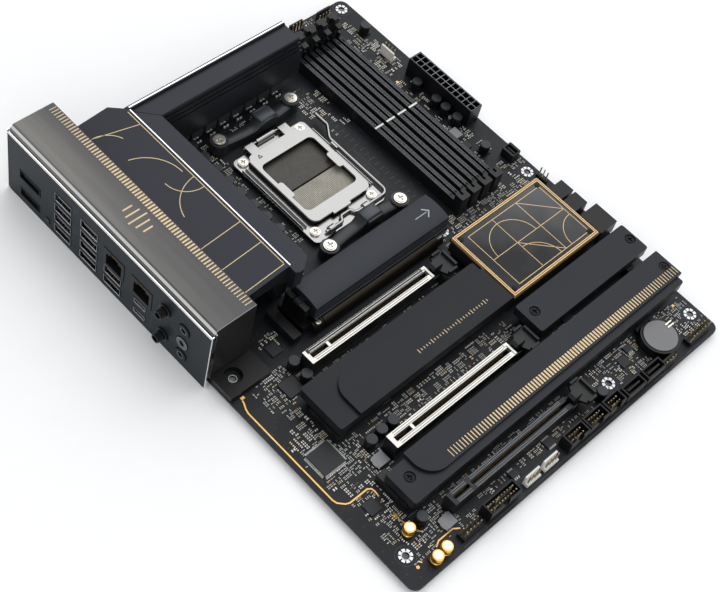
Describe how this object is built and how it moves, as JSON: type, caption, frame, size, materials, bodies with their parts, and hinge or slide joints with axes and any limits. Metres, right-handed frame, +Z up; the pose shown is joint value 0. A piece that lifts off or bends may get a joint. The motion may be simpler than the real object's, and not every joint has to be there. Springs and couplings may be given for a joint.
{
  "type": "motherboard",
  "caption": "Full-size desktop computer mainboard with a processor socket, latched memory and card slots, heat spreaders, a rear port panel and board headers.",
  "frame": {"origin": "centre of the rear bottom fixing hole at the board's underside", "axes": "+Z up out of the board's component side, +Y towards the edge with the memory latches, +X from the rear panel to the front edge"},
  "size_m": [0.2538, 0.3062, 0.0492],
  "materials": {
    "board": "satin solder mask over copper",
    "plate_paint": "fine painted steel",
    "smoked_cover": "smoky clear plastic",
    "black_plastic": "fine moulded",
    "anodised_dark": "bead blasted and anodised dark grey",
    "copper_pipe": "nickel plated copper",
    "pad_grey": "soft silicone pad",
    "choke_ferrite": "pressed ferrite",
    "chip_epoxy": "moulded epoxy",
    "capacitor_can": "black coated can",
    "gold_can": "gold sleeve with a plain top",
    "inductor_silver": "satin",
    "contact_field": "field of spring contacts",
    "nickel_steel": "nickel plated steel",
    "screw_steel": "nickel plated",
    "black_steel": "black coated steel",
    "slot_plastic": "fine moulded",
    "slot_shield": "bright pressed steel",
    "carrier_bronze": "anodised",
    "black_screw": "black oxide",
    "champagne_frame": "champagne anodised with a cut bevel",
    "smoked_glass": "gloss panel",
    "header_plastic": "moulded, with plated pins",
    "cell_steel": "satin",
    "jack_steel": "pressed steel shells",
    "jack_dark": "moulded with metal rings",
    "antenna_dark": "black chromed",
    "button_plastic": "moulded"
  },
  "bodies": {
    "board": {"pcb": "board", "rear_io_plate": "plate_paint", "io_cover": "smoked_cover", "io_cover_frame": "black_plastic", "vrm_heatsink_rear": "anodised_dark", "vrm_heatsink_top": "anodised_dark", "heat_pipe": "copper_pipe", "thermal_pads": "pad_grey", "vrm_chokes": "choke_ferrite", "chip_packages": "chip_epoxy", "polymer_capacitors": "capacitor_can", "audio_capacitors": "gold_can", "power_inductors": "inductor_silver", "socket_housing": "black_plastic", "socket_contact_field": "contact_field", "socket_frame": "nickel_steel", "socket_frame_screws": "screw_steel", "cooler_backplate": "black_steel", "cooler_brackets": "black_plastic", "cooler_bracket_screws": "screw_steel", "dimm_slots": "slot_plastic", "pcie_slots": "slot_plastic", "pcie_shields": "slot_shield", "m2_carrier_upper": "carrier_bronze", "m2_connectors": "slot_plastic", "m2_heatsink_middle": "anodised_dark", "m2_heatsink_right": "anodised_dark", "m2_heatsink_lower": "anodised_dark", "heatsink_screws": "black_screw", "chipset_package": "chip_epoxy", "chipset_heatsink": "anodised_dark", "chipset_frame": "champagne_frame", "chipset_window": "smoked_glass", "atx_power_header": "black_plastic", "cpu_power_headers": "black_plastic", "sata_ports": "black_plastic", "usb_headers": "black_plastic", "shrouded_headers": "black_plastic", "pin_headers": "header_plastic", "battery_holder": "black_plastic", "coin_cell": "cell_steel", "lan_jacks": "jack_steel", "usb_a_ports": "jack_steel", "usb_c_ports": "jack_steel", "video_ports": "jack_steel", "audio_jacks": "jack_dark", "antenna_jacks": "antenna_dark", "flashback_switch": "black_plastic"},
    "load_plate": {"socket_load_plate": "nickel_steel"},
    "lever": {"socket_lever": "nickel_steel"},
    "upper_spreader": {"m2_heatsink_upper": "anodised_dark"},
    "release_latch": {"m2_release_latch": "screw_steel"},
    "flashback_button": {"flashback_button": "button_plastic"},
    "dimm_latch_1": {"dimm_latch_1": "slot_plastic"},
    "dimm_latch_2": {"dimm_latch_2": "slot_plastic"},
    "dimm_latch_3": {"dimm_latch_3": "slot_plastic"},
    "dimm_latch_4": {"dimm_latch_4": "slot_plastic"},
    "pcie_latch_1": {"pcie_latch_1": "slot_plastic"},
    "pcie_latch_2": {"pcie_latch_2": "slot_plastic"},
    "pcie_latch_3": {"pcie_latch_3": "slot_plastic"}
  },
  "joints": [
    {"name": "load_plate_hinge", "type": "hinge", "parent": "board", "child": "load_plate", "pos_m": [0.11634, 0.23039, 0.0068], "axis": [-1, 0, 0], "range_deg": [0, 100]},
    {"name": "lever_hinge", "type": "hinge", "parent": "board", "child": "lever", "pos_m": [0.11634, 0.16089, 0.0066], "axis": [1, 0, 0], "range_deg": [0, 115]},
    {"name": "upper_spreader_tilt", "type": "hinge", "parent": "board", "child": "upper_spreader", "pos_m": [0.04874, 0.13149, 0.0178], "axis": [0, -1, 0], "range_deg": [0, 30]},
    {"name": "release_latch_slide", "type": "slide", "parent": "board", "child": "release_latch", "axis": [1, 0, 0], "range_m": [0, 0.0025], "stiffness_N_per_m": 600},
    {"name": "flashback_press", "type": "slide", "parent": "board", "child": "flashback_button", "axis": [1, 0, 0], "range_m": [0, 0.0006], "stiffness_N_per_m": 1000},
    {"name": "dimm_latch_1_hinge", "type": "hinge", "parent": "board", "child": "dimm_latch_1", "pos_m": [0.17324, 0.26449, 0.0061], "axis": [-1, 0, 0], "range_deg": [0, 20]},
    {"name": "dimm_latch_2_hinge", "type": "hinge", "parent": "board", "child": "dimm_latch_2", "pos_m": [0.18251, 0.26449, 0.0061], "axis": [-1, 0, 0], "range_deg": [0, 20]},
    {"name": "dimm_latch_3_hinge", "type": "hinge", "parent": "board", "child": "dimm_latch_3", "pos_m": [0.19178, 0.26449, 0.0061], "axis": [-1, 0, 0], "range_deg": [0, 20]},
    {"name": "dimm_latch_4_hinge", "type": "hinge", "parent": "board", "child": "dimm_latch_4", "pos_m": [0.20105, 0.26449, 0.0061], "axis": [-1, 0, 0], "range_deg": [0, 20]},
    {"name": "pcie_latch_1_hinge", "type": "hinge", "parent": "board", "child": "pcie_latch_1", "pos_m": [0.12604, 0.10569, 0.005], "axis": [0, 1, 0], "range_deg": [0, 12]},
    {"name": "pcie_latch_2_hinge", "type": "hinge", "parent": "board", "child": "pcie_latch_2", "pos_m": [0.12604, 0.04473, 0.005], "axis": [0, 1, 0], "range_deg": [0, 12]},
    {"name": "pcie_latch_3_hinge", "type": "hinge", "parent": "board", "child": "pcie_latch_3", "pos_m": [0.12604, 0.00409, 0.005], "axis": [0, 1, 0], "range_deg": [0, 12]}
  ],
  "couplings": [
    {"joint": "lever_hinge", "follows": "load_plate_hinge", "ratio": 1.15}
  ]
}
